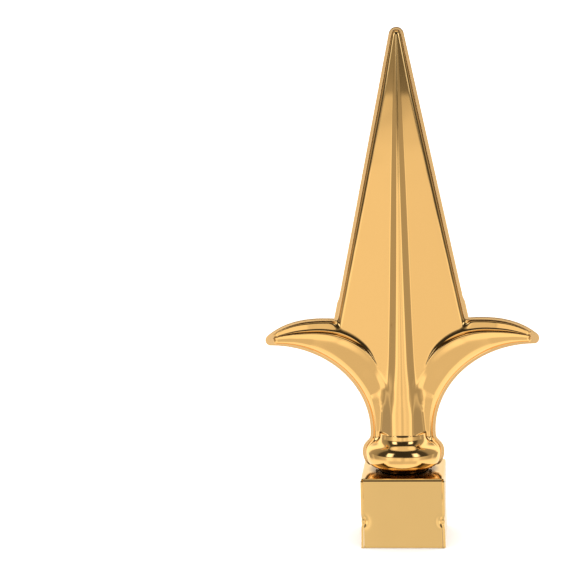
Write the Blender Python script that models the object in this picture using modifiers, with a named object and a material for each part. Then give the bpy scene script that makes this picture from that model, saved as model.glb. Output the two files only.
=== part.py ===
"""A spear finial for a square post: two pressed sheet halves welded along a narrow flange, on a folded square cap.

Run it with blender --background --python part.py, or from the text editor. Sizes are in metres, +Z is up, and the
origin is at the middle of the cap's open underside. The front half is pressed towards -Y.
"""

from math import asin, atan2, cos, hypot, pi, radians, sin, sqrt, tan

import bmesh
import bpy
from mathutils import Vector

MM = 0.001

# Clearances between pieces that touch
SEAM_GAP = 0.3 * MM
JOINT_GAP = 0.3 * MM

# Square cap, folded from a cross-shaped blank
CAP_WIDTH = 27.0 * MM
CAP_HEIGHT = 23.0 * MM
CAP_SHEET = 0.75 * MM
CAP_BEND = 0.9 * MM
CORNER_SLIT = 0.2 * MM
SLIT_BELOW_BEND = 1.2 * MM
TACK_CENTRE = 8.8 * MM
TACK_HEIGHT = 4.0 * MM
TACK_DEPTH = 0.5 * MM

# Pressed sheet and its flange
SHELL_SHEET = 0.5 * MM
FLANGE = 0.95 * MM
BEVEL_RUN = 1.65 * MM
BEVEL_ANGLE = radians(32)

# Heights above the cap's top, where the neck stands
NECK_HEIGHT = 1.0 * MM
BALL_HEIGHT = 10.2 * MM
COLLAR_HEIGHT = 1.5 * MM
COLUMN_HEIGHT = 15.0 * MM
BLADE_LENGTH = 115.5 * MM

# Neck, ball and column
NECK_RADIUS = 8.25 * MM
BALL_RADIUS = 12.35 * MM
BALL_SHOULDER = 9.9 * MM
BALL_FULLNESS = 0.8
BALL_LOW_TURN = -62
BALL_HIGH_TURN = 78
COLUMN_HALF_FOOT = 7.2 * MM
COLUMN_HALF_TOP = 5.95 * MM
COLUMN_FRONT_FOOT = 9.4 * MM
COLUMN_SIDE_FOOT = 3.6 * MM

# Blade: a long triangle with a rounded tip and a rib down its middle
BLADE_TAPER = 0.2075
TIP_RADIUS = 2.42 * MM
PANEL_SLOPE = radians(13)
RIB_HALF = 4.1 * MM
RIB_HEIGHT = 8.3 * MM
RIB_POWER_WIDE = 0.75
RIB_POWER_HIGH = 0.45
RIB_FLARE = 6.0 * MM
ROUND_SHARE = 0.47
ROUND_DROP = 0.26

# Leaves, in the plane of the seam
STEM_HALF = 10.6 * MM
LEAF_REACH = 44.25 * MM
LEAF_TIP_RADIUS = 1.75 * MM
LEAF_TIP_RISE = 15.2 * MM
RIDGE_TOP_X = 27.0 * MM
RIDGE_RISE = 18.35 * MM
BACK_LENGTH = 8.0 * MM
RIDGE_HIGH = 6.2 * MM
RIDGE_MIDDLE = 5.3 * MM
RIDGE_END = 2.0 * MM
SHELF_HIGH = 2.2 * MM
COVE_WIDTH = 1.1 * MM
BAND_WIDTH = 1.2 * MM
ROLL_WIDTH = 1.5 * MM
FACE_SLOPE = radians(15)

# Facets
RIB_STEPS = 4
PANEL_STEPS = 5
RIM_STEPS = 3
BLADE_ROWS = 14
COLUMN_ROWS = 4
LEAF_STEPS = 11
BALL_ROWS = 10

FLANGE_FRONT = SEAM_GAP / 2 + SHELL_SHEET
SEAT = CAP_HEIGHT + JOINT_GAP
BALL_FOOT = SEAT + NECK_HEIGHT
BALL_TOP = BALL_FOOT + BALL_HEIGHT
COLUMN_FOOT = BALL_TOP + COLLAR_HEIGHT
FORK = COLUMN_FOOT + COLUMN_HEIGHT
TIP = FORK + BLADE_LENGTH
TAPER_ANGLE = atan2(BLADE_TAPER, 1)
TIP_CENTRE = TIP - TIP_RADIUS
APEX = TIP_CENTRE + TIP_RADIUS / sin(TAPER_ANGLE)
SHOULDER = FLANGE + BEVEL_RUN
SHOULDER_HIGH = FLANGE_FRONT + BEVEL_RUN * tan(BEVEL_ANGLE)
LEAF_TIP_X = LEAF_REACH - LEAF_TIP_RADIUS
LEAF_TIP_Z = FORK + LEAF_TIP_RISE
RIDGE_TOP_Z = FORK + RIDGE_RISE


def clear_scene():
    for obj in list(bpy.data.objects):
        bpy.data.objects.remove(obj, do_unlink=True)


def blend(a, b, share):
    return a + (b - a) * share


def blend_point(a, b, share):
    return (blend(a[0], b[0], share), blend(a[1], b[1], share))


def through(stops, share):
    """Value at share, on straight lines through (share, value) stops."""
    for (s0, v0), (s1, v1) in zip(stops, stops[1:]):
        if share <= s1:
            return blend(v0, v1, (share - s0) / (s1 - s0))
    return stops[-1][1]


def blade_half(z):
    """Half of the blade's width, with the flange, at height z."""
    tangent = TIP_CENTRE + TIP_RADIUS * sin(TAPER_ANGLE)
    if z <= tangent:
        return (APEX - z) * BLADE_TAPER
    return sqrt(max(TIP_RADIUS**2 - (z - TIP_CENTRE) ** 2, 0))


def rim_scale(z):
    """How much the flange and bevel narrow where the blade is narrower than they are."""
    return min(1, blade_half(z) / (2.4 * SHOULDER))


def rib_half(z):
    """Half of the rib's width at its foot. It opens out to the column's width at the fork."""
    width = RIB_HALF * (max(APEX - z, 0) / (APEX - FORK)) ** RIB_POWER_WIDE
    flare = max(0, 1 - (z - FORK) / RIB_FLARE) ** 2
    return min(blend(width, COLUMN_HALF_TOP, flare), 0.4 * blade_half(z))


def panel_high(x, z):
    """Depth of the blade's flat panel, its bevel or its flange in front of the seam."""
    scale = rim_scale(z)
    inside = blade_half(z) - x
    if inside <= FLANGE * scale:
        return FLANGE_FRONT
    if inside <= SHOULDER * scale:
        return FLANGE_FRONT + (inside - FLANGE * scale) * tan(BEVEL_ANGLE)
    shoulder = FLANGE_FRONT + BEVEL_RUN * scale * tan(BEVEL_ANGLE)
    return shoulder + (inside - SHOULDER * scale) * tan(PANEL_SLOPE)


def front_high(z):
    """Depth of the rib's or the column's crest. The rib's crest is never rounded tighter than the sheet is thick."""
    if z < FORK:
        return blend(COLUMN_FRONT_FOOT, RIB_HEIGHT, (z - COLUMN_FOOT) / COLUMN_HEIGHT)
    half = rib_half(z)
    side = panel_high(half, z)
    if half <= 0:
        return side
    rib = RIB_HEIGHT * (max(APEX - z, 0) / (APEX - FORK)) ** RIB_POWER_HIGH
    tightest = (ROUND_SHARE * half) ** 2 / (2 * ROUND_DROP * 1.1 * SHELL_SHEET)
    return side + 1 / (max(rib - side, 0.001 * MM) ** -4 + tightest**-4) ** 0.25


def crown(share):
    """Cross-section of rib and column: 1 on the crest, round, then a straight side down to 0."""
    if share < ROUND_SHARE:
        return 1 - ROUND_DROP * (share / ROUND_SHARE) ** 2
    return (1 - ROUND_DROP) * (1 - share) / (1 - ROUND_SHARE)


def column_half(z):
    return blend(COLUMN_HALF_FOOT, COLUMN_HALF_TOP, (z - COLUMN_FOOT) / COLUMN_HEIGHT)


def column_side_high(z):
    at_fork = panel_high(COLUMN_HALF_TOP, FORK)
    return blend(COLUMN_SIDE_FOOT, at_fork, (z - COLUMN_FOOT) / COLUMN_HEIGHT)


def lower_outline(share):
    """Under edge of stem and leaf: a quarter ellipse, then the lower half of the round leaf tip."""
    if share < 0.9:
        turn = share / 0.9 * pi / 2
        x = LEAF_TIP_X - (LEAF_TIP_X - STEM_HALF) * cos(turn)
        z = COLUMN_FOOT + (LEAF_TIP_Z - LEAF_TIP_RADIUS - COLUMN_FOOT) * sin(turn)
        return (x, z)
    turn = (share - 1) / 0.1 * pi / 2
    return (LEAF_TIP_X + LEAF_TIP_RADIUS * cos(turn), LEAF_TIP_Z + LEAF_TIP_RADIUS * sin(turn))


def ridge(share):
    """Crest of the leaf: a quarter ellipse up from the fork, then a drooping line out to the leaf's tip."""
    if share <= 0.5:
        turn = share * pi
        x = RIDGE_TOP_X - (RIDGE_TOP_X - COLUMN_HALF_TOP) * cos(turn)
        return (x, FORK + RIDGE_RISE * sin(turn))
    out = (share - 0.5) * 2
    x = blend(RIDGE_TOP_X, LEAF_REACH, out)
    return (x, RIDGE_TOP_Z - (RIDGE_TOP_Z - LEAF_TIP_Z) * out**2)


def cove_foot(share):
    """Foot of the steep wall behind the crest, on the side of the blade."""
    step = 0.002
    x0, z0 = ridge(max(share - step, 0))
    x1, z1 = ridge(min(share + step, 1))
    along = hypot(x1 - x0, z1 - z0)
    width = COVE_WIDTH * min(1, share / 0.15, (1 - share) / 0.15)
    x, z = ridge(share)
    return (x - (z1 - z0) / along * width, z + (x1 - x0) / along * width)


def ridge_high(share):
    """Depth of the leaf's crest along its length."""
    at_fork = panel_high(COLUMN_HALF_TOP, FORK)
    stops = [(0, at_fork), (0.15, RIDGE_HIGH), (0.5, RIDGE_MIDDLE), (0.92, RIDGE_END), (0.96, FLANGE_FRONT)]
    return through(stops, share)


def shelf_high(share):
    return through([(0.5, SHELF_HIGH), (0.92, SHOULDER_HIGH), (0.96, FLANGE_FRONT)], share)


def facing(stem_share):
    """Place on the under edge that faces a place on the crest."""
    return through([(0, 0.237), (0.5, 0.678), (1, 1)], stem_share)


def panel_column(step, z):
    """x of one of the blade's columns of facets, from the rib's foot out to the edge."""
    half, scale = blade_half(z), rim_scale(z)
    rim = [half - SHOULDER * scale, half - blend(SHOULDER, FLANGE, 0.5) * scale, half - FLANGE * scale, half]
    if step <= PANEL_STEPS:
        return blend(rib_half(z), rim[0], step / PANEL_STEPS)
    return rim[step - PANEL_STEPS]


def meets_cove(step):
    """Place along the leaf, from 0 to 1, where a column of the panel comes down on the cove's foot."""
    low, high = 0.0, 1.0
    for _ in range(40):
        middle = (low + high) / 2
        x, z = cove_foot(middle)
        if x < panel_column(step, z):
            low = middle
        else:
            high = middle
    return low


PANEL_ENDS = [0.0] + [meets_cove(step) for step in range(1, PANEL_STEPS + 1)]
CORNER = cove_foot(PANEL_ENDS[-1])
JUNCTION_RISE = 3.8 * MM
JUNCTION = (blade_half(CORNER[1] + JUNCTION_RISE), CORNER[1] + JUNCTION_RISE)


def panel_bottom(step):
    """Lower end of a column: on the cove's foot, and for the rim on the slanting line up to the leaf's back."""
    if step <= PANEL_STEPS:
        return cove_foot(PANEL_ENDS[step])
    z = blend(CORNER[1], JUNCTION[1], (step - PANEL_STEPS) / RIM_STEPS)
    return (panel_column(step, z), z)


def blade_row(bottom, row):
    """Height of a row of facets. The rows draw together towards the tip."""
    return blend(bottom, TIP, 1 - (1 - row / BLADE_ROWS) ** 1.6)


def back_outline(share):
    """Top edge of the leaf, a Bezier curve from the blade to the leaf's round tip, then round to its end."""
    if share > 0.9:
        turn = blend(radians(50), 0, (share - 0.9) / 0.1)
        return (LEAF_TIP_X + LEAF_TIP_RADIUS * cos(turn), LEAF_TIP_Z + LEAF_TIP_RADIUS * sin(turn))
    t = share / 0.9
    turn = radians(50)
    end = (LEAF_TIP_X + LEAF_TIP_RADIUS * cos(turn), LEAF_TIP_Z + LEAF_TIP_RADIUS * sin(turn))
    points = [
        JUNCTION,
        (JUNCTION[0] + BACK_LENGTH, JUNCTION[1] + 0.06 * BACK_LENGTH),
        (end[0] - BACK_LENGTH * sin(turn), end[1] + BACK_LENGTH * cos(turn)),
        end,
    ]
    weights = [(1 - t) ** 3, 3 * t * (1 - t) ** 2, 3 * t**2 * (1 - t), t**3]
    return tuple(sum(w * p[axis] for w, p in zip(weights, points)) for axis in (0, 1))


def leaf_stations():
    """Places along the leaf's inner side, from the stem's foot to the leaf's end, each with what lies there."""
    stations = []
    for row in range(COLUMN_ROWS):
        z = blend(COLUMN_FOOT, FORK, row / COLUMN_ROWS)
        facing_share = 0.237 * row / COLUMN_ROWS
        high = column_side_high(z)
        point = (column_half(z), z)
        stations.append((point, high, point, high, facing_share))
    for step, share in enumerate(PANEL_ENDS):
        point = cove_foot(share)
        inner = blend(panel_high(*point), ridge_high(share), 1.0 if step == 0 else 0.0)
        stations.append((point, inner, ridge(share), ridge_high(share), facing(share)))
    for step in range(1, LEAF_STEPS + 1):
        share = blend(PANEL_ENDS[-1], 1, step / LEAF_STEPS)
        stations.append((cove_foot(share), shelf_high(share), ridge(share), ridge_high(share), facing(share)))
    return stations


def leaf_section(station):
    """Points (x, depth, z) across the leaf, from the cove's foot over the crest to the under edge."""
    foot, foot_high, crest, crest_high, facing_share = station
    edge = lower_outline(facing_share)
    width = max(hypot(edge[0] - crest[0], edge[1] - crest[1]), 1e-9)
    fin = min(FLANGE, 0.3 * width)
    roll = min(ROLL_WIDTH, 0.3 * width)
    band = min(BAND_WIDTH, 0.2 * width)
    face = width - fin - roll - band
    above = max(crest_high - FLANGE_FRONT, 0)
    band_high = FLANGE_FRONT + above * 0.94
    face_high = max(FLANGE_FRONT + above * 0.5, band_high - face * tan(FACE_SLOPE))
    across = [
        (0, crest_high),
        (band, band_high),
        (band + face / 2, blend(band_high, face_high, 0.45)),
        (band + face, face_high),
        (band + face + roll * 0.55, blend(face_high, FLANGE_FRONT, 0.35)),
        (width - fin, FLANGE_FRONT),
        (width, FLANGE_FRONT),
    ]
    section = [(foot[0], foot_high, foot[1])]
    for distance, high in across:
        x, z = blend_point(crest, edge, distance / width)
        section.append((x, high, z))
    return section


def patch(bm, wide, tall, place):
    """A grid of facets whose point (i, j) lies at place(i, j) = (x, depth in front of the seam, z)."""
    grid = bmesh.ops.create_grid(bm, x_segments=wide, y_segments=tall, size=1)
    for index, vert in enumerate(grid["verts"]):
        x, depth, z = place(index % (wide + 1), index // (wide + 1))
        vert.co = (x, -depth, z)


def centre_place(i, j):
    """Column below the fork, rib above it."""
    share = i / RIB_STEPS
    if j < COLUMN_ROWS:
        z = blend(COLUMN_FOOT, FORK, j / COLUMN_ROWS)
        half, side = column_half(z), column_side_high(z)
    else:
        z = blade_row(FORK, j - COLUMN_ROWS)
        half = rib_half(z)
        side = panel_high(half, z)
    return (half * share, blend(side, front_high(z), crown(share)), z)


def panel_place(i, j):
    bottom = panel_bottom(i)
    z = blade_row(bottom[1], j)
    x = bottom[0] if j == 0 else panel_column(i, z)
    return (x, panel_high(x, z), z)


def shelf_place(i, j):
    """Shelf between the leaf's cove and its back edge, outside the blade."""
    if i == 0:
        x, z = panel_bottom(PANEL_STEPS + j)
        return (x, panel_high(x, z), z)
    share = blend(PANEL_ENDS[-1], 1, i / LEAF_STEPS)
    foot, edge = cove_foot(share), back_outline(i / LEAF_STEPS)
    width = max(hypot(edge[0] - foot[0], edge[1] - foot[1]), 1e-9)
    fin = min(FLANGE, 0.4 * width)
    bevel = min(FLANGE, 0.2 * width)
    distance = [0, width - fin - bevel, width - fin, width][j]
    high = [shelf_high(share), blend(FLANGE_FRONT, shelf_high(share), 0.8), FLANGE_FRONT, FLANGE_FRONT][j]
    x, z = blend_point(foot, edge, distance / width)
    return (x, high, z)


def ball_profile():
    """(radius, height) of the neck's and the ball's side, from the seat up to the collar under the column."""
    middle = BALL_FOOT + BALL_HEIGHT / 2
    points = [(NECK_RADIUS, SEAT), (NECK_RADIUS, BALL_FOOT)]
    turns = BALL_ROWS - 3
    for step in range(turns + 1):
        turn = radians(blend(BALL_LOW_TURN, BALL_HIGH_TURN, step / turns))
        floor = NECK_RADIUS if turn < 0 else BALL_SHOULDER
        radius = floor + (BALL_RADIUS - floor) * cos(turn) ** BALL_FULLNESS
        points.append((radius, middle + BALL_HEIGHT / 2 * sin(turn)))
    return points


def ball_place(ring):
    profile = ball_profile()

    def place(i, j):
        x, depth, z = ring[i]
        if j == BALL_ROWS:
            return (x, depth, z)
        radius, z = profile[j]
        if i == len(ring) - 1:
            return (radius + FLANGE, FLANGE_FRONT, z)
        angle = max(atan2(depth, x), asin(FLANGE_FRONT / radius))
        if i == len(ring) - 2:
            angle = asin(FLANGE_FRONT / radius)
        return (radius * cos(angle), radius * sin(angle), z)

    return place


def half_shell_mesh():
    """One quarter of the outside of the finial: right of the rib, in front of the seam."""
    bm = bmesh.new()
    sections = [leaf_section(station) for station in leaf_stations()]
    ring = [centre_place(i, 0) for i in range(RIB_STEPS + 1)] + sections[0][2:]
    patch(bm, RIB_STEPS, COLUMN_ROWS + BLADE_ROWS, centre_place)
    patch(bm, PANEL_STEPS + RIM_STEPS, BLADE_ROWS, panel_place)
    patch(bm, len(sections[0]) - 1, len(sections) - 1, lambda i, j: sections[j][i])
    patch(bm, LEAF_STEPS, RIM_STEPS, shelf_place)
    patch(bm, len(ring) - 1, BALL_ROWS, ball_place(ring))
    bmesh.ops.remove_doubles(bm, verts=bm.verts, dist=0.004 * MM)
    bmesh.ops.dissolve_degenerate(bm, edges=bm.edges, dist=0.001 * MM)
    mesh = bpy.data.meshes.new("half_shell")
    bm.to_mesh(mesh)
    bm.free()
    return mesh


def material(name, colour, roughness):
    made = bpy.data.materials.new(name)
    made.use_nodes = True
    shader = made.node_tree.nodes["Principled BSDF"]
    shader.inputs["Base Color"].default_value = (*colour, 1)
    shader.inputs["Metallic"].default_value = 1
    shader.inputs["Roughness"].default_value = roughness
    return made


def add_object(name, mesh, collection, finish):
    obj = bpy.data.objects.new(name, mesh)
    collection.objects.link(obj)
    obj.data.materials.append(finish)
    return obj


def add_half_shells(collection, gold):
    mesh = half_shell_mesh()
    mesh.materials.append(gold)
    for name, turn in (("front_half_shell", 0), ("back_half_shell", pi)):
        obj = bpy.data.objects.new(name, mesh)
        collection.objects.link(obj)
        obj.rotation_euler.z = turn
        mirror = obj.modifiers.new("other_side", "MIRROR")
        mirror.merge_threshold = 0.01 * MM
        sheet = obj.modifiers.new("sheet", "SOLIDIFY")
        sheet.thickness = SHELL_SHEET
        sheet.offset = -1
    mesh.shade_smooth()
    mesh.set_sharp_from_angle(angle=radians(30))


def box_mesh(name, low, high):
    bm = bmesh.new()
    bmesh.ops.create_cube(bm, size=1)
    low, high = Vector(low), Vector(high)
    bmesh.ops.scale(bm, vec=high - low, verts=bm.verts)
    bmesh.ops.translate(bm, vec=(low + high) / 2, verts=bm.verts)
    mesh = bpy.data.meshes.new(name)
    bm.to_mesh(mesh)
    bm.free()
    return mesh


def round_top_edges(mesh, radius):
    """The four bends where the cap's walls are folded down from its top plate."""
    bm = bmesh.new()
    bm.from_mesh(mesh)
    top = max(v.co.z for v in bm.verts)
    edges = [e for e in bm.edges if all(abs(v.co.z - top) < 0.001 * MM for v in e.verts)]
    bmesh.ops.bevel(bm, geom=edges, offset=radius, segments=4, profile=0.5, affect="EDGES", material=-1)
    bm.to_mesh(mesh)
    bm.free()


def cut(obj, name, mesh, cutters):
    cutter = bpy.data.objects.new(name, mesh)
    cutters.objects.link(cutter)
    cutter.hide_render = True
    cutter.display_type = "WIRE"
    boolean = obj.modifiers.new(name, "BOOLEAN")
    boolean.operation = "DIFFERENCE"
    boolean.object = cutter
    return cutter


def add_cap(collection, cutters, gold):
    """A hollow square cap, open below. Its corners are butt joints, slit but for one tack weld each."""
    half = CAP_WIDTH / 2
    inner = half - CAP_SHEET
    mesh = box_mesh("square_socket_cap", (-half, -half, 0), (half, half, CAP_HEIGHT))
    round_top_edges(mesh, CAP_BEND)
    cap = add_object("square_socket_cap", mesh, collection, gold)
    socket = box_mesh("socket", (-inner, -inner, -inner), (inner, inner, CAP_HEIGHT - CAP_SHEET))
    cut(cap, "socket", socket, cutters)
    tack_low = TACK_CENTRE - TACK_HEIGHT / 2
    tack_high = TACK_CENTRE + TACK_HEIGHT / 2
    slit_top = CAP_HEIGHT - CAP_BEND - SLIT_BELOW_BEND
    dimple_radius = ((TACK_HEIGHT / 2) ** 2 + TACK_DEPTH**2) / (2 * TACK_DEPTH)
    outside = (dimple_radius - TACK_DEPTH) / sqrt(2)
    for side_x in (-1, 1):
        for side_y in (-1, 1):
            corner = f"{'left' if side_x < 0 else 'right'}_{'front' if side_y < 0 else 'back'}"
            xs = sorted((side_x * (inner - CORNER_SLIT), side_x * inner))
            ys = sorted((side_y * (inner - CAP_SHEET), side_y * (half + CAP_SHEET)))
            for part, low, high in (("low", -CAP_SHEET, tack_low), ("high", tack_high, slit_top)):
                slit = box_mesh("slit", (xs[0], ys[0], low), (xs[1], ys[1], high))
                cut(cap, f"slit_{part}_{corner}", slit, cutters)
            bm = bmesh.new()
            bmesh.ops.create_uvsphere(bm, u_segments=24, v_segments=16, radius=dimple_radius)
            place = Vector((side_x * (half + outside), side_y * (half + outside), TACK_CENTRE))
            bmesh.ops.translate(bm, vec=place, verts=bm.verts)
            dimple = bpy.data.meshes.new("dimple")
            bm.to_mesh(dimple)
            bm.free()
            cut(cap, f"dimple_{corner}", dimple, cutters)
    cap.data.shade_smooth()
    cap.data.set_sharp_from_angle(angle=radians(30))


def build():
    clear_scene()
    parts = bpy.data.collections.new("flagpole_finial")
    cutters = bpy.data.collections.new("cutters")
    bpy.context.scene.collection.children.link(parts)
    bpy.context.scene.collection.children.link(cutters)
    pressed_gold = material("pressed_gold_sheet", (0.90, 0.56, 0.20), 0.07)
    folded_gold = material("folded_gold_sheet", (0.86, 0.54, 0.21), 0.10)
    add_half_shells(parts, pressed_gold)
    add_cap(parts, cutters, folded_gold)


build()
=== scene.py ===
from functools import cache
from math import asin, atan, atan2, cos, exp, hypot, pi, radians, sin, sqrt, tan

import bmesh
import bpy
from mathutils import Matrix, Vector


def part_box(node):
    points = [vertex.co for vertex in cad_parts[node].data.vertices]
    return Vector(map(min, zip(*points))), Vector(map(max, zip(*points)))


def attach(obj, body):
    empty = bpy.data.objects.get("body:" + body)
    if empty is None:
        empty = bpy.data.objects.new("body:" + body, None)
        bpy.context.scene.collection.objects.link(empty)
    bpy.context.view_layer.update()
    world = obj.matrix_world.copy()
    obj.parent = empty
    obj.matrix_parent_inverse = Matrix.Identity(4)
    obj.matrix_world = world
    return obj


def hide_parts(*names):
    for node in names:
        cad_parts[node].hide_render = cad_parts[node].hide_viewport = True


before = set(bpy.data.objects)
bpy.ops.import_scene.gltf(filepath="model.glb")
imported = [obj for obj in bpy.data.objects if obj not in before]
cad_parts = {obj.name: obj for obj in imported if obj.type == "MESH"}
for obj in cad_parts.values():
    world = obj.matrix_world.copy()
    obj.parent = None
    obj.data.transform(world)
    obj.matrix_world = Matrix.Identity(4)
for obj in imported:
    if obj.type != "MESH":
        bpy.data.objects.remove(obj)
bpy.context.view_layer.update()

# Half shells: the spear is two like pressings of thin sheet metal, laid back to back and welded along a narrow flange,
# then polished and coated gold. Each has a blade with a rib, two leaves, a faceted column and half a ball. Lengths are
# in millimetres until a mesh is done: x to the right, z up, and depth towards the front from the weld seam.
MM = 0.001
shell_low, shell_high = (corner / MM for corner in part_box("front_half_shell"))
sheet = 0.5
flat = sheet - shell_high.y  # depth of the flange's face
seat = shell_low.z  # height of the neck's foot, on the cap
tip = shell_high.z
reach = shell_high.x
fork = seat + 27.7  # height where the leaves' stems leave the blade
column_foot = fork - 15

flange = 0.95
taper = 0.2075
tip_radius = 2.42
tip_centre = tip - tip_radius
apex = tip_centre + tip_radius / sin(atan(taper))

panel_slope = radians(11.5)
rim_wall = radians(66)
rim_crease, rim_rise, rim_roll = 0.3, 0.2, 1.9
rim_run = rim_crease * sin(rim_wall) + rim_rise * cos(rim_wall) + rim_roll * (sin(rim_wall) - sin(panel_slope))
rib_side = radians(46)
rib_corner = radians(26)
rib_fork_half, rib_flare, flare_height = 4.1, 0.35, 35
sharp_height = 150
column_halves = 7.2, 5.95  # half widths at the column's foot and at the fork
column_fronts = 9.4, 9.1  # depths there
column_slope = radians(58)
jog, jog_height, jog_length = 0.35, 78, 2.2  # the flange stands out a little below this height

crest_steps, corner_steps, side_steps, foot_steps = 8, 4, 5, 4
panel_steps = 30
roll_steps, rise_steps, crease_steps, flange_steps = 13, 1, 5, 3
rib_columns = crest_steps + corner_steps + side_steps + foot_steps
rim_columns = roll_steps + rise_steps + crease_steps + flange_steps
panel_edge = rib_columns + panel_steps
blade_columns = panel_edge + rim_columns
blade_rows = 144
tip_rows = 14
column_rows = 44
leaf_steps = 52


def blend(a, b, share):
    return a + (b - a) * share


def blend_point(a, b, share):
    return tuple(blend(p, q, share) for p, q in zip(a, b))


def ease(share):
    """0 below 0, 1 above 1, with a smooth rise between."""
    share = min(max(share, 0), 1)
    return share * share * (3 - 2 * share)


def through(stops, share):
    """Value at share on the straight lines through (share, value) stops."""
    for (s0, v0), (s1, v1) in zip(stops, stops[1:]):
        if share <= s1:
            return blend(v0, v1, (share - s0) / (s1 - s0))
    return stops[-1][1]


def lesser(a, b):
    """The smaller of two lengths, with a soft change from one to the other."""
    return (a**-4 + b**-4) ** -0.25


def walk(moves):
    """Points (along, depth) of a pressed section. A move is (new slope, radius or length, steps)."""
    points = [(0.0, 0.0)]
    slope = 0.0
    for new_slope, size, steps in moves:
        along, depth = points[-1]
        bend = 1 if new_slope < slope else -1
        for step in range(1, steps + 1):
            share = step / steps
            if new_slope == slope:
                points.append((along + size * share * cos(slope), depth + size * share * sin(slope)))
            else:
                at = blend(slope, new_slope, share)
                rise = bend * (cos(at) - cos(slope))
                points.append((along + size * abs(sin(at) - sin(slope)), depth + size * rise))
        slope = new_slope
    return points


def blade_half(z):
    return (apex - z) * taper


def rib_half(z):
    slim = rib_fork_half * (max(apex - z, 0.1) / (apex - fork)) ** 0.75
    return slim + rib_flare * max(0, 1 - (z - fork) / flare_height) ** 2


def crest_radius(z):
    """Radius of the rib's crest, which is sharp near the tip and blunter down the blade."""
    down = max(sharp_height - z, -8)
    return 0.55 + 0.012 * down + 0.00029 * down * down


@cache
def blade_section(half, z):
    """Points (x, depth) across half the blade, from the rib's crest out to the edge of the flange."""
    stout = min(1, (half - 2.4) / 4 + 0.02)
    edge = flange * blend(0.9, 1, stout)
    rim = blend(0.6, 1, stout)
    inner = half - edge - rim * rim_run
    foot = lesser(rib_half(z), 0.45 * inner)
    crest = min(crest_radius(z), 0.7 * foot / sin(rib_corner))
    corner = 0.2 * crest
    side_foot = crest * sin(rib_corner) + corner * (sin(rib_side) - sin(rib_corner))
    fillet = min(0.5, 0.3 * (foot - side_foot))
    tangent = fillet * tan((rib_side - panel_slope) / 2)
    side = max((foot - side_foot) / cos(rib_side) - tangent, 0.02)
    points = walk(
        [
            (0, edge, flange_steps),
            (rim_wall, rim_crease * rim, crease_steps),
            (rim_wall, rim_rise * rim, rise_steps),
            (panel_slope, rim_roll * rim, roll_steps),
            (panel_slope, (inner - foot) / cos(panel_slope) - tangent, panel_steps),
            (rib_side, fillet, foot_steps),
            (rib_side, side, side_steps),
            (rib_corner, corner, corner_steps),
            (0, crest, crest_steps),
        ]
    )
    return [(max(half - along, 0), flat + depth) for along, depth in reversed(points)]


def column_half(z):
    return blend(*column_halves, (z - column_foot) / (fork - column_foot))


def column_section(z):
    """Points (x, depth) across half the column's front: a gently rounded face and its rounded corner."""
    front = blend(*column_fronts, (z - column_foot) / (fork - column_foot))
    points = [(0.0, front)]
    slope = 0.0
    for new_slope, radius, steps in (
        (radians(22), 8.0, crest_steps + corner_steps),
        (column_slope, 1.4, side_steps + foot_steps),
    ):
        x, depth = points[-1]
        for step in range(1, steps + 1):
            at = blend(slope, new_slope, step / steps)
            points.append((x + radius * (sin(at) - sin(slope)), depth - radius * (cos(slope) - cos(at))))
        slope = new_slope
    return points


def column_side(z):
    """Depth at the column's side, where its flat facet meets the stem of the leaf."""
    x, depth = column_section(z)[-1]
    return depth - (column_half(z) - x) * tan(column_slope)


def blade_point(i, z):
    """A point of the blade. Near the fork the rib widens into the column, and lifts the panel beside it a little."""
    section = blade_section(blade_half(z), z)
    share = ease((fork + 1 - z) / 10)
    if i <= rib_columns:
        outer = max(0, (i - crest_steps - corner_steps) / (side_steps + foot_steps))
        share = blend(blend(share, ease((fork + 9 - z) / 14), 0.75), share, outer)
        return (*blend_point(section[i], column_section(z)[i], share), z)
    foot = section[rib_columns]
    lifted = blend_point(foot, column_section(z)[rib_columns], share)
    fade = exp(foot[0] - section[i][0])
    return (section[i][0] + (lifted[0] - foot[0]) * fade, section[i][1] + (lifted[1] - foot[1]) * fade, z)


at_fork = blade_point(rib_columns, fork)
stem_x = column_halves[1]
crest_x, crest_height, crest_droop = 27, 18.05, 2.85


def ridge(share):
    """Crest of the leaf: a quarter ellipse up from the fork, then a drooping line out to the leaf's tip."""
    if share <= 0.5:
        turn = share * pi
        inward = max(0, 1 - share / 0.12) ** 2
        x = crest_x - (crest_x - stem_x) * cos(turn)
        return (x - (stem_x - at_fork[0]) * inward, fork + crest_height * sin(turn))
    out = (share - 0.5) * 2
    return (blend(crest_x, reach, out), fork + crest_height - crest_droop * out**2)


leaf_tip_radius = 1.75
pressing_end = reach - 3.4
leaf_tip_x = reach - leaf_tip_radius
leaf_tip_z = fork + 15.2
under_x = 10.6
# Shares of a leaf's outer edges that run along the leaf, and round its tip.
edge_run, edge_round = 0.9, 0.1


def under_edge(share):
    """Under edge of stem and leaf: a quarter ellipse, then the lower half of the round leaf tip."""
    if share < edge_run:
        turn = share / edge_run * pi / 2
        x = leaf_tip_x - (leaf_tip_x - under_x) * cos(turn)
        return (x, column_foot + (leaf_tip_z - leaf_tip_radius - column_foot) * sin(turn))
    turn = (share - 1) / edge_round * pi / 2
    return (leaf_tip_x + leaf_tip_radius * cos(turn), leaf_tip_z + leaf_tip_radius * sin(turn))


cove_widths = [(0.13, 0), (0.19, 0.55), (0.24, 0.85), (0.3, 0.85), (0.36, 0.7), (0.45, 0.5), (0.7, 0.45)]
cove_widths += [(0.885, 0.2), (0.97, 0)]


def cove_foot(share):
    """Foot of the steep wall behind the leaf's crest, which dies out at the fork and near the leaf's tip."""
    step = 0.002
    x0, z0 = ridge(max(share - step, 0))
    x1, z1 = ridge(min(share + step, 1))
    out = max(through(cove_widths, share), 0) / hypot(x1 - x0, z1 - z0)
    x, z = ridge(share)
    return (x - (z1 - z0) * out, z + (x1 - x0) * out)


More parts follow.
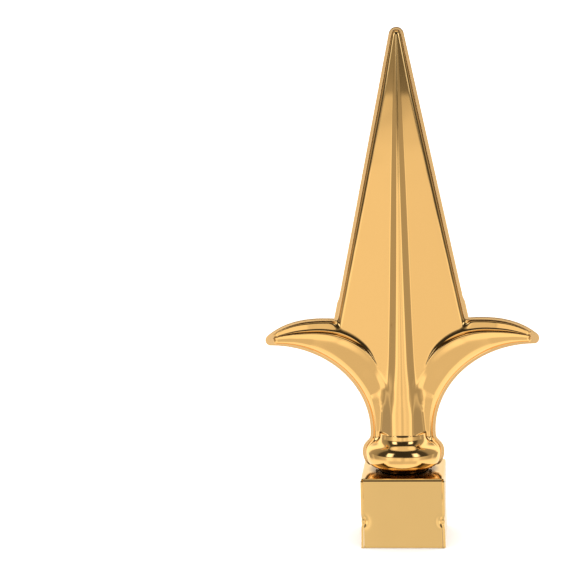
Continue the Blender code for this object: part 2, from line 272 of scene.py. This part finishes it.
def meets_cove(i):
    """Place along the leaf where a column of the blade's points comes down on the cove's foot."""
    low, high = 0.0, 1.0
    for _ in range(30):
        middle = (low + high) / 2
        x, z = cove_foot(middle)
        if x < blade_section(blade_half(z), z)[i][0]:
            low = middle
        else:
            high = middle
    return low


panel_ends = {rib_columns: 0.0}
for column in range(rib_columns + 1, panel_edge + 1):
    panel_ends[column] = meets_cove(column)
corner_share = panel_ends[panel_edge]
corner_z = cove_foot(corner_share)[1]
junction_z = corner_z + 4.5
junction = (blade_half(junction_z) + jog, junction_z)

# Height of the crest over its cove, depth of the crest's outer line and depth of the shelf, all along the leaf.
crest_rises = [(0, 0), (0.13, 0.0), (0.2, 0.8), (0.3, 1.8), (0.37, 2.55), (0.5, 2.4), (0.7, 1.8), (0.885, 0.7)]
crest_rises += [(1, 0.5)]
band_depths = [(0, 4.1), (0.1, 4.35), (0.2, 4.3), (0.3, 4.1), (0.5, 3.6), (0.7, 2.8), (0.885, 1.7), (1, 1.4)]
shelf_depths = [(corner_share, blade_section(blade_half(corner_z), corner_z)[panel_edge][1])]
shelf_depths += [(0.6, 2.2), (0.885, 1.4), (1, 1.1)]


def blade_bottom(i):
    """Lower end of a column of the blade: on the cove's foot, or for the rim on the line to the leaf's back."""
    if i <= panel_edge:
        return cove_foot(panel_ends[i])[1] if i >= rib_columns else fork
    return blend(corner_z, junction_z, (i - panel_edge) / rim_columns)


def blade_place(i, j):
    """Rows climb the blade, then fan round the centre of its rounded tip."""
    if j > blade_rows:
        turn = (j - blade_rows) / tip_rows * pi / 2
        half = tip_radius / cos(max(atan(taper) - turn, 0))
        x, depth = blade_section(half, tip_centre)[i]
        return (x * cos(turn), depth, tip_centre + x * sin(turn))
    z = blend(blade_bottom(i), tip_centre, 1 - (1 - j / blade_rows) ** 1.25)
    x, depth, z = blade_point(i, z)
    on_flange = max(i - blade_columns + flange_steps, 0) / flange_steps
    return (x + jog * on_flange * (1 - ease((z - jog_height) / jog_length)), depth, z)


def back_edge(share):
    """Top edge of the leaf, a Bezier curve from the blade to the leaf's round tip, then round to its end."""
    turn = radians(50) * min(1, (1 - share) / edge_round)
    end = (leaf_tip_x + leaf_tip_radius * cos(turn), leaf_tip_z + leaf_tip_radius * sin(turn))
    if share > edge_run:
        return end
    t = share / edge_run
    handle = 8
    points = [
        junction,
        (junction[0] + handle, junction[1] + 0.48),
        (end[0] - handle * sin(turn), end[1] + handle * cos(turn)),
        end,
    ]
    weights = [(1 - t) ** 3, 3 * t * (1 - t) ** 2, 3 * t**2 * (1 - t), t**3]
    return tuple(sum(w * p[axis] for w, p in zip(weights, points)) for axis in (0, 1))


band_widths = 1.9, 3.0
# Shares of the under edge that face the fork and the top of the crest.
faces_fork, faces_crest = 0.237, 0.678


def leaf_stations():
    """Places up the stem and out along the leaf, as (foot, crest, crest's outer line, under edge) points."""
    stations = []
    for row in range(column_rows):
        z = blend(column_foot, fork, row / column_rows)
        inner = blade_point(rib_columns, z)
        side = blend(column_side(z), band_depths[0][1], ease((z - fork + 4) / 4))
        stations.append((inner, inner, (column_half(z), side, z), faces_fork * row / column_rows))
    shares = [panel_ends[i] for i in range(rib_columns, panel_edge)]
    shares += [blend(corner_share, 1, step / leaf_steps) for step in range(leaf_steps + 1)]
    for index, share in enumerate(shares):
        x, z = cove_foot(share)
        if index <= panel_steps:
            depth = blade_point(rib_columns + index, z)[1]
        else:
            depth = through(shelf_depths, share)
        crest = ridge(share)
        high = depth + through(crest_rises, share)
        facing = through([(0, faces_fork), (0.5, faces_crest), (1, 1)], share)
        edge = under_edge(facing)
        width = max(hypot(edge[0] - crest[0], edge[1] - crest[1]), 1e-9)
        band = min(blend(*band_widths, ease(share / 0.25)), 0.27 * width)
        at = blend_point(crest, edge, band / width)
        outer = (at[0], min(through(band_depths, share), high - 0.1), at[1])
        stations.append(((x, depth, z), (crest[0], high, crest[1]), outer, facing))
    return stations


cove_steps, band_steps, face_steps, under_steps, fin_steps = 7, 9, 9, 10, 3
leaf_across = cove_steps + band_steps + face_steps + under_steps + fin_steps
face_slope = radians(12)


def leaf_section(station):
    """Points (x, depth, z) across the leaf: up the cove's wall, over the crest, the face, the roll and the flange."""
    foot, crest, outer, edge_share = station
    edge = under_edge(edge_share)
    end = (edge[0], flat, edge[1])
    width = max(hypot(edge[0] - outer[0], edge[1] - outer[2]), 1e-9)
    fin = min(flange, 0.3 * width)
    roll = 0.23 * width
    face_end = list(blend_point(outer, end, 1 - (fin + roll) / width))
    face_end[1] = max(blend(flat, outer[1], 0.5), outer[1] - (width - fin - roll) * tan(face_slope))
    fin_start = list(blend_point(outer, end, 1 - fin / width))
    fin_start[1] = flat
    section = [foot]
    for start, stop, steps in (
        (foot, crest, cove_steps),
        (crest, outer, band_steps),
        (outer, face_end, face_steps),
        (face_end, fin_start, under_steps),
        (fin_start, end, fin_steps),
    ):
        section += [blend_point(start, stop, step / steps) for step in range(1, steps + 1)]
    return section


def shelf_place(i, j, blade_foot):
    """Shelf between the leaf's cove and its back edge, with the same rim as the blade."""
    if i == 0:
        return blade_foot[j]
    share = blend(corner_share, 1, i / leaf_steps)
    foot = cove_foot(share)
    high = through(shelf_depths, share)
    if j == 0:
        return (foot[0], high, foot[1])
    edge = back_edge(i / leaf_steps)
    width = max(hypot(edge[0] - foot[0], edge[1] - foot[1]), 1e-9)
    fin = min(0.85 * flange, 0.4 * width)
    wall = min(0.28, 0.25 * width)
    wall_steps = roll_steps + rise_steps + crease_steps
    if j >= wall_steps:
        x, z = blend_point(foot, edge, 1 - fin / width * (rim_columns - j) / flange_steps)
        return (x, flat, z)
    across, slant = j / wall_steps, wall / width
    down = through([(0, 0), (0.4, 0.02), (0.5, 0.1), (0.9, 0.9), (1, 1)], across)
    inward = through([(0, 1), (0.4, slant), (0.5, 0.5 * slant), (0.9, 0.1 * slant), (1, 0)], across)
    x, z = blend_point(foot, edge, (1 - fin / width) * (1 - inward))
    return (x, blend(high, flat, down), z)


# The ball's lower half is round in section. Its upper half swings in to the foot of the column and the stems, and
# meets them in a narrow ledge.
ball_middle = seat + 5.8
ball_drop = 4.9
ball_radius = 12.4
neck_radius = 8.25
collar_half, collar_depth = 7.9, 9.6
under_ball = [(neck_radius, seat), (neck_radius, seat + 0.5), (neck_radius, seat + 0.95)]
for degrees in range(-68, 0, 4):
    around = cos(radians(degrees)) ** 0.7
    under_ball.append((blend(neck_radius, ball_radius, around), ball_middle + ball_drop * sin(radians(degrees))))
shoulder = walk([(radians(45), 4.4, 12), (radians(45), 0.7, 2), (radians(3), 3, 9), (radians(3), 1.05, 4)])
ledge = [(-0.3, 1.0), (-0.12, 0.95), (-0.03, 0.5), (0, 0)]
ball_rows = len(under_ball) + len(shoulder) + len(ledge) - 1


def ball_place(ring, i, j):
    """Rows climb the ball and then turn in to the ring of points at the foot of the column and the stems."""
    x, depth, z = ring[i]
    rank = (i - (len(ring) - 1 - flange_steps)) / flange_steps
    radius = under_ball[j][0] if j < len(under_ball) else ball_radius
    angle = max(atan2(depth, x), asin(flat / radius))
    ball = (radius * cos(angle), radius * sin(angle))
    if rank >= 0:
        ball = (sqrt(radius**2 - flat**2) + flange * rank, flat)
    if j < len(under_ball):
        return (*ball, under_ball[j][1])
    step = j - len(under_ball)
    oval = 1 / hypot(cos(angle) / collar_half, sin(angle) / collar_depth)
    out = max(oval / hypot(x, depth), 1) - 1
    if step >= len(shoulder):
        out *= ledge[step - len(shoulder)][1]
    collar = (x * (1 + out), depth * (1 + out)) if rank < 0 else (x, depth)
    if step >= len(shoulder):
        return (*collar, z + ledge[step - len(shoulder)][0])
    rise, inward = shoulder[step]
    return (*blend_point(ball, collar, inward / shoulder[-1][1]), blend(ball_middle, z - 0.35, rise / shoulder[-1][0]))


def lay_patch(bm, wide, tall, place):
    """A grid whose point (i, j) lies at place(i, j) = (x, depth, z). The pressing ends short of the leaf's tip."""
    grid = bmesh.ops.create_grid(bm, x_segments=wide, y_segments=tall, size=1)
    for index, vert in enumerate(grid["verts"]):
        x, depth, z = place(index % (wide + 1), index // (wide + 1))
        vert.co = (x, -blend(depth, flat, ease((x - pressing_end) / 0.5)), z)


def press_half_shell():
    """Right half of the pressing from five patches, mirrored, with its fork and tip worked smooth."""
    bm = bmesh.new()
    sections = [leaf_section(station) for station in leaf_stations()]
    ring = [blade_point(i, column_foot) for i in range(rib_columns + 1)] + sections[0][cove_steps + 1 :]
    blade_foot = [blade_place(i, 0) for i in range(panel_edge, blade_columns + 1)]
    rows = [blend(column_foot, fork, row / column_rows) for row in range(column_rows + 1)]
    lay_patch(bm, rib_columns, column_rows, lambda i, j: blade_point(i, rows[j]))
    lay_patch(bm, blade_columns, blade_rows + tip_rows, blade_place)
    lay_patch(bm, leaf_across, len(sections) - 1, lambda i, j: sections[j][i])
    lay_patch(bm, leaf_steps, rim_columns, lambda i, j: shelf_place(i, j, blade_foot))
    lay_patch(bm, len(ring) - 1, ball_rows, lambda i, j: ball_place(ring, i, j))
    bmesh.ops.remove_doubles(bm, verts=bm.verts, dist=0.004)
    bmesh.ops.dissolve_degenerate(bm, edges=bm.edges, dist=0.0005)
    bmesh.ops.mirror(bm, geom=bm.verts[:] + bm.edges[:] + bm.faces[:], axis="X", merge_dist=0.01)
    bmesh.ops.recalc_face_normals(bm, faces=bm.faces)
    if sum(face.normal.y * face.calc_area() for face in bm.faces) > 0:
        bmesh.ops.reverse_faces(bm, faces=bm.faces)
    inner = [v for v in bm.verts if not v.is_boundary and v.co.y < -flat - 0.02]
    spots = [Vector((side * at_fork[0], -at_fork[1], fork - 3.5)) for side in (-1, 1)]
    tip_spot = Vector((0, -1.2, tip_centre))
    for centres, radius, times in (
        ([tip_spot], tip, 6),
        ([tip_spot], 2.6, 4),
        (spots, 5.4, 6),
        (spots, 4.8, 8),
        (spots, 4.2, 10),
        (spots, 3.6, 12),
        (spots, 3.0, 14),
    ):
        close = [v for v in inner if min((v.co - centre).length for centre in centres) < radius]
        for _ in range(times):
            bmesh.ops.smooth_vert(bm, verts=close, factor=0.5, use_axis_x=True, use_axis_y=True, use_axis_z=True)
    bmesh.ops.scale(bm, vec=(MM, MM, MM), verts=bm.verts)
    return bm


def show(name, bm, finish, thickness):
    """Makes the object of a shape. Sheet gets its thickness inwards from the shape, and eased cut edges."""
    mesh = bpy.data.meshes.new(name)
    bm.to_mesh(mesh)
    bm.free()
    mesh.materials.append(finish)
    mesh.shade_smooth()
    piece = bpy.data.objects.new(name, mesh)
    bpy.context.scene.collection.objects.link(piece)
    if thickness:
        wall = piece.modifiers.new("sheet", "SOLIDIFY")
        wall.thickness = thickness * MM
        wall.offset = -1
        edge = piece.modifiers.new("eased_cut_edge", "BEVEL")
        edge.width = 0.12 * MM
        edge.segments = 2
        edge.limit_method = "ANGLE"
        edge.angle_limit = radians(60)
    return piece


class Wire:
    """A socket in a node tree. Sums and products of wires and numbers add Math nodes."""

    def __init__(self, tree, socket):
        self.tree = tree
        self.socket = socket

    def node(self, kind, settings, sockets, output=0):
        """Adds a node with its settings first and then its sockets' values or wires, and returns one output."""
        made = self.tree.nodes.new(kind)
        for setting, value in settings.items():
            if setting == "stops":
                ramp = made.color_ramp
                while len(ramp.elements) < len(value):
                    ramp.elements.new(1)
                for element, (place, colour) in zip(ramp.elements, value):
                    element.position = place
                    element.color = (*colour, 1) if isinstance(colour, tuple) else (colour, colour, colour, 1)
            else:
                setattr(made, setting, value)
        for socket, value in sockets.items():
            if isinstance(value, Wire):
                self.tree.links.new(value.socket, made.inputs[socket])
            else:
                made.inputs[socket].default_value = value
        return Wire(self.tree, made.outputs[output])

    def math(self, operation, a, b=0.0):
        return self.node("ShaderNodeMath", {"operation": operation}, {0: a, 1: b})

    def __add__(self, other):
        return self.math("ADD", self, other)

    __radd__ = __add__

    def __sub__(self, other):
        return self.math("SUBTRACT", self, other)

    def __rsub__(self, other):
        return self.math("SUBTRACT", other, self)

    def __mul__(self, other):
        return self.math("MULTIPLY", self, other)

    __rmul__ = __mul__

    def rise(self, low, high):
        """0 below low and 1 above high, with a smooth change between. High below low turns it round."""
        settings = {"interpolation_type": "SMOOTHSTEP"}
        if high < low:
            return 1 - self.node("ShaderNodeMapRange", settings, {0: self, 1: high, 2: low})
        return self.node("ShaderNodeMapRange", settings, {0: self, 1: low, 2: high})


def gold_sheet(name, colour, edge_of_flange):
    """Polished gold coat, faintly wavy, satin along the welded seam, and with painted shade darkening it round the
    foot of the neck.
    """
    finish = bpy.data.materials.new(name)
    finish.use_nodes = True
    gold = finish.node_tree.nodes["Principled BSDF"]
    gold.inputs["Metallic"].default_value = 1
    start = Wire(finish.node_tree, None)
    place = start.node("ShaderNodeTexCoord", {}, {}, "Object")

    def noise(scale, detail=2.0):
        return start.node("ShaderNodeTexNoise", {}, {"Vector": place, "Scale": scale, "Detail": detail}, 0)

    def mix(share, first, second):
        kind = {"data_type": "RGBA"}
        return start.node("ShaderNodeMix", kind, {"Factor": share, "A": first, "B": second}, 2)

    depth = start.math("ABSOLUTE", start.node("ShaderNodeSeparateXYZ", {}, {0: place}, 1))
    satin = depth.rise(edge_of_flange + 0.12 * MM, edge_of_flange) * 0.75
    haze = noise(60.0).rise(0.35, 0.8)
    height = start.node("ShaderNodeSeparateXYZ", {}, {0: place}, 2)
    around = start.node("ShaderNodeVectorMath", {"operation": "MULTIPLY"}, {0: place, 1: (1, 1, 0)}, 0)
    out = start.node("ShaderNodeVectorMath", {"operation": "LENGTH"}, {0: around}, 1)
    # Painted shade: round the foot of the neck, on the shells and on the cap's top under the ball, the colour turns
    # dark brown and a little rougher. It stands in for the shade in the gap where the ball meets the cap.
    at_neck = height.rise((seat - 1.2) * MM, (seat - 0.9) * MM) * height.rise((seat + 1.7) * MM, (seat + 0.7) * MM)
    painted_neck_shade = at_neck * out.rise(12.2 * MM, 9.4 * MM)
    satin_gold = mix(satin, colour, (0.82, 0.57, 0.31, 1))
    neck_shaded_gold = mix(painted_neck_shade * (0.75 + 0.25 * haze), satin_gold, (0.16, 0.11, 0.085, 1))
    links = finish.node_tree.links
    links.new(neck_shaded_gold.socket, gold.inputs["Base Color"])
    links.new((0.07 + 0.04 * haze + 0.16 * satin + 0.12 * painted_neck_shade).socket, gold.inputs["Roughness"])
    waves = start.node("ShaderNodeBump", {}, {"Strength": 0.12, "Distance": 0.0004, "Height": noise(120.0, 0.0)})
    links.new(waves.socket, gold.inputs["Normal"])
    return finish


plated = gold_sheet("pressed_gold_sheet", (0.88, 0.575, 0.235, 1), (flat + 0.02) * MM)

# The sheet is as thick here as the flange's face is deep, so the two flanges meet at the seam, where the weld is.
for name, turn in (("front_shell", 0), ("back_shell", pi)):
    pressing = press_half_shell()
    bmesh.ops.rotate(pressing, cent=(0, 0, 0), matrix=Matrix.Rotation(turn, 3, "Z"), verts=pressing.verts)
    shell = show(name, pressing, plated, flat)
    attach(shell, "root")
    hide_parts(name.replace("_shell", "_half_shell"))

# Square cap: a cross-shaped blank of thicker sheet, folded down on four sides into an open box. The side walls cover
# the ends of the front and back walls, and one tack weld in each corner has drawn the edges in a little.
cap_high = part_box("square_socket_cap")[1] / MM
cap_half = cap_high.x
cap_top = cap_high.z
cap_sheet = 0.75
bend = 0.9
slit = 0.12
tack_height = 8.8
tack_size = 0.6, 0.32, 1.2
dent_depth, dent_height, dent_width = 0.5, 1.5, 1.0
foot_spread, spread_height = 0.12, 6
left_wall, left_drop = 3, 0.25
across_steps, bend_steps, wall_steps = 32, 6, 46


def wall_place(quarter, i, j):
    """A wall folded down from the top plate. Quarters 0 and 2 are the front and back walls, 1 and 3 the side walls.

    The left wall hangs a little lower than the others, and the side walls spread a little at the foot.
    """
    fold = min(j / bend_steps, 1)
    turn = fold * pi / 2
    out = cap_half - bend + bend * sin(turn)
    foot = 0 if quarter == left_wall else left_drop
    z = blend(cap_top - bend + bend * cos(turn), foot, max(j - bend_steps, 0) / wall_steps)
    end = cap_half if quarter % 2 else cap_half - cap_sheet - slit
    half = blend(cap_half - bend, end, ease(fold))
    along = half * sin((i / across_steps - 0.5) * pi)
    dent = exp(-(((z - tack_height) / dent_height) ** 2) - ((half - abs(along)) / dent_width) ** 2)
    spread = foot_spread * max(0, 1 - z / spread_height) ** 2 if quarter % 2 else 0
    out += spread - dent_depth * dent
    along *= 1 - 0.012 * dent
    angle = quarter * pi / 2
    return (along * cos(angle) + out * sin(angle), along * sin(angle) - out * cos(angle), z)


def fold_cap():
    bm = bmesh.new()
    places = [lambda i, j, quarter=quarter: wall_place(quarter, i, j) for quarter in range(4)]
    patches = [(bend_steps + wall_steps, place) for place in places]
    patches.append((across_steps, lambda i, j: (wall_place(0, i, 0)[0], wall_place(0, j, 0)[0], cap_top)))
    for rows, place in patches:
        grid = bmesh.ops.create_grid(bm, x_segments=across_steps, y_segments=rows, size=1)
        for index, vert in enumerate(grid["verts"]):
            vert.co = place(index % (across_steps + 1), index // (across_steps + 1))
    bmesh.ops.remove_doubles(bm, verts=bm.verts, dist=0.002)
    bmesh.ops.recalc_face_normals(bm, faces=bm.faces)
    if sum(face.normal.z * face.calc_area() for face in bm.faces) < 0:
        bmesh.ops.reverse_faces(bm, faces=bm.faces)
    bmesh.ops.scale(bm, vec=(MM, MM, MM), verts=bm.verts)
    return bm


def weld_tacks():
    """Four small beads that fill the slits in the corners."""
    bm = bmesh.new()
    for x_side in (-1, 1):
        for y_side in (-1, 1):
            at = Matrix.Translation((x_side * (cap_half - cap_sheet), y_side * (cap_half - 0.35), tack_height))
            size = Matrix.Diagonal((*tack_size, 1))
            bmesh.ops.create_uvsphere(bm, u_segments=20, v_segments=14, radius=1, matrix=at @ size)
    bmesh.ops.scale(bm, vec=(MM, MM, MM), verts=bm.verts)
    return bm


folded = gold_sheet("folded_gold_sheet", (0.85, 0.595, 0.26, 1), -1)
cap_piece = show("folded_cap", fold_cap(), folded, cap_sheet)
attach(cap_piece, "root")
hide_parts("square_socket_cap")
tacks = show("corner_tacks", weld_tacks(), folded, 0)
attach(tacks, "root")

# Studio: a white sheet on a table in a dark room, two softboxes beside the camera and one light overhead. The
# polished metal shows mostly these. They are painted on the world, so that they stand the same for every view, and
# the camera itself sees plain white behind the object.
world = bpy.data.worlds.new("studio")
bpy.context.scene.world = world
world.use_nodes = True
sky = Wire(world.node_tree, None)
towards = sky.node("ShaderNodeTexCoord", {}, {}, "Generated")
side = sky.node("ShaderNodeSeparateXYZ", {}, {0: towards}, 0)
back = sky.node("ShaderNodeSeparateXYZ", {}, {0: towards}, 1)
up = sky.node("ShaderNodeSeparateXYZ", {}, {0: towards}, 2)
round_about = sky.math("ARCTAN2", sky.math("ABSOLUTE", side), 0 - back) * (1 / pi)
right = side.rise(-0.02, 0.02)


def bearings(*stops):
    """Brightness by bearing, in degrees from the camera's side."""
    table = [(degrees / 180, value) for degrees, value in stops]
    return sky.node("ShaderNodeValToRGB", {"stops": table}, {0: round_about})


# Below the horizon lies the sheet: its far half, and its near half where the object stands.
by_bearing = bearings(
    *[(0, 0.84), (3, 0.82), (8, 1.1), (16, 1.1), (20, 0.99), (28, 0.99), (36, 1.3), (50, 1.3)],
    *[(60, 0.78), (85, 0.5), (96, 0.46), (103, 0.75), (111, 0.45), (122, 0.42), (127, 1.5), (180, 1)],
)
sheet_far = by_bearing * (1.04 - 0.04 * right)
deep = up.rise(-0.53, -0.68)
wide = bearings((0, 0), (40, 0), (54, 1), (180, 1))
sheet_near = 0.79 + 0.04 * right + 0.48 * (deep + wide - deep * wide)
near = up.rise(-0.28, -0.45)
table = sheet_far * (1 - near) + sheet_near * near

# Above it stands the room: dark walls, darker at the top of the far one, haze low behind the camera, and a ceiling.
walls = bearings(
    *[(0, 0.04), (52, 0.05), (80, 0.08), (89, 0.33), (118, 0.45)],
    *[(125, 1.5), (140, 1.5), (150, 0.95), (165, 1.15), (180, 1.15)],
)
far_wall = 1 - bearings((0, 0), (142, 0), (158, 0.93), (180, 0.93)) * up.rise(0.36, 0.46)
haze = (0.36 - 0.2 * right) * up.rise(0.2, 0.0) * bearings((0, 1), (40, 1), (60, 0), (180, 0))
over = bearings((0, 0.9), (40, 0.9), (60, 1.2), (110, 1.2), (130, 0.15), (180, 0.15))
room = walls * far_wall * up.rise(0.86, 0.8) + haze + over * up.rise(0.84, 0.92)

boxes_across = bearings((0, 0), (29, 0), (37, 1), (50, 1), (60, 0), (180, 0))
softboxes = 2.0 * boxes_across * up.rise(0.05, 0.18) * up.rise(0.66, 0.5)
below = up.rise(0.045, -0.025)
seen = table * below + room * (1 - below)
camera_ray = sky.node("ShaderNodeLightPath", {}, {}, "Is Camera Ray")
unseen = 1 - camera_ray
warm = sky.node("ShaderNodeVectorMath", {"operation": "SCALE"}, {0: (1.02, 0.92, 0.76), 3: seen * unseen})
lamps = camera_ray + softboxes * (1 - below) * unseen
light = sky.node("ShaderNodeVectorMath", {"operation": "ADD"}, {0: warm, 1: lamps})
backdrop = world.node_tree.nodes["Background"]
world.node_tree.links.new(light.socket, backdrop.inputs["Color"])

# Floor: the white table that takes the object's soft shadow. Mirrors don't show it, because the world has its own.
floor_mesh = bpy.data.meshes.new("floor")
sweep = bmesh.new()
bmesh.ops.create_grid(sweep, x_segments=1, y_segments=1, size=12)
sweep.to_mesh(floor_mesh)
sweep.free()
white = bpy.data.materials.new("white_table")
white.use_nodes = True
paper = white.node_tree.nodes["Principled BSDF"]
paper.inputs["Base Color"].default_value = (0.9, 0.9, 0.9, 1)
paper.inputs["Roughness"].default_value = 0.9
floor_mesh.materials.append(white)
floor = bpy.data.objects.new("floor", floor_mesh)
bpy.context.scene.collection.objects.link(floor)
floor.visible_glossy = False

soft = bpy.data.lights.new("soft_overhead", "SUN")
soft.energy = 4.2
soft.angle = radians(110)
overhead = bpy.data.objects.new("soft_overhead", soft)
bpy.context.scene.collection.objects.link(overhead)
overhead.visible_glossy = False

# Camera: a long lens a little above the spear, aimed to its left, so that the spear stands right of the middle.
stand_off, eye_height, bearing = 650, 193.9, radians(2.4)
focal_pixels, picture_width = 2043.65, 576
eye = MM * Vector((stand_off * sin(bearing), -stand_off * cos(bearing), eye_height))
camera_data = bpy.data.cameras.new("camera")
camera_data.sensor_width = 36
camera_data.lens = camera_data.sensor_width * focal_pixels / picture_width
camera = bpy.data.objects.new("camera", camera_data)
bpy.context.scene.collection.objects.link(camera)
bpy.context.scene.camera = camera
pan = Matrix.Rotation(radians(5.6), 3, "Z")
tilt = Matrix.Rotation(radians(90 - 9.62), 3, "X")
lean = Matrix.Rotation(radians(-1.54), 3, "Z")
camera.matrix_world = Matrix.Translation(eye) @ (pan @ tilt @ lean).to_4x4()

bpy.context.scene.view_settings.view_transform = "Standard"
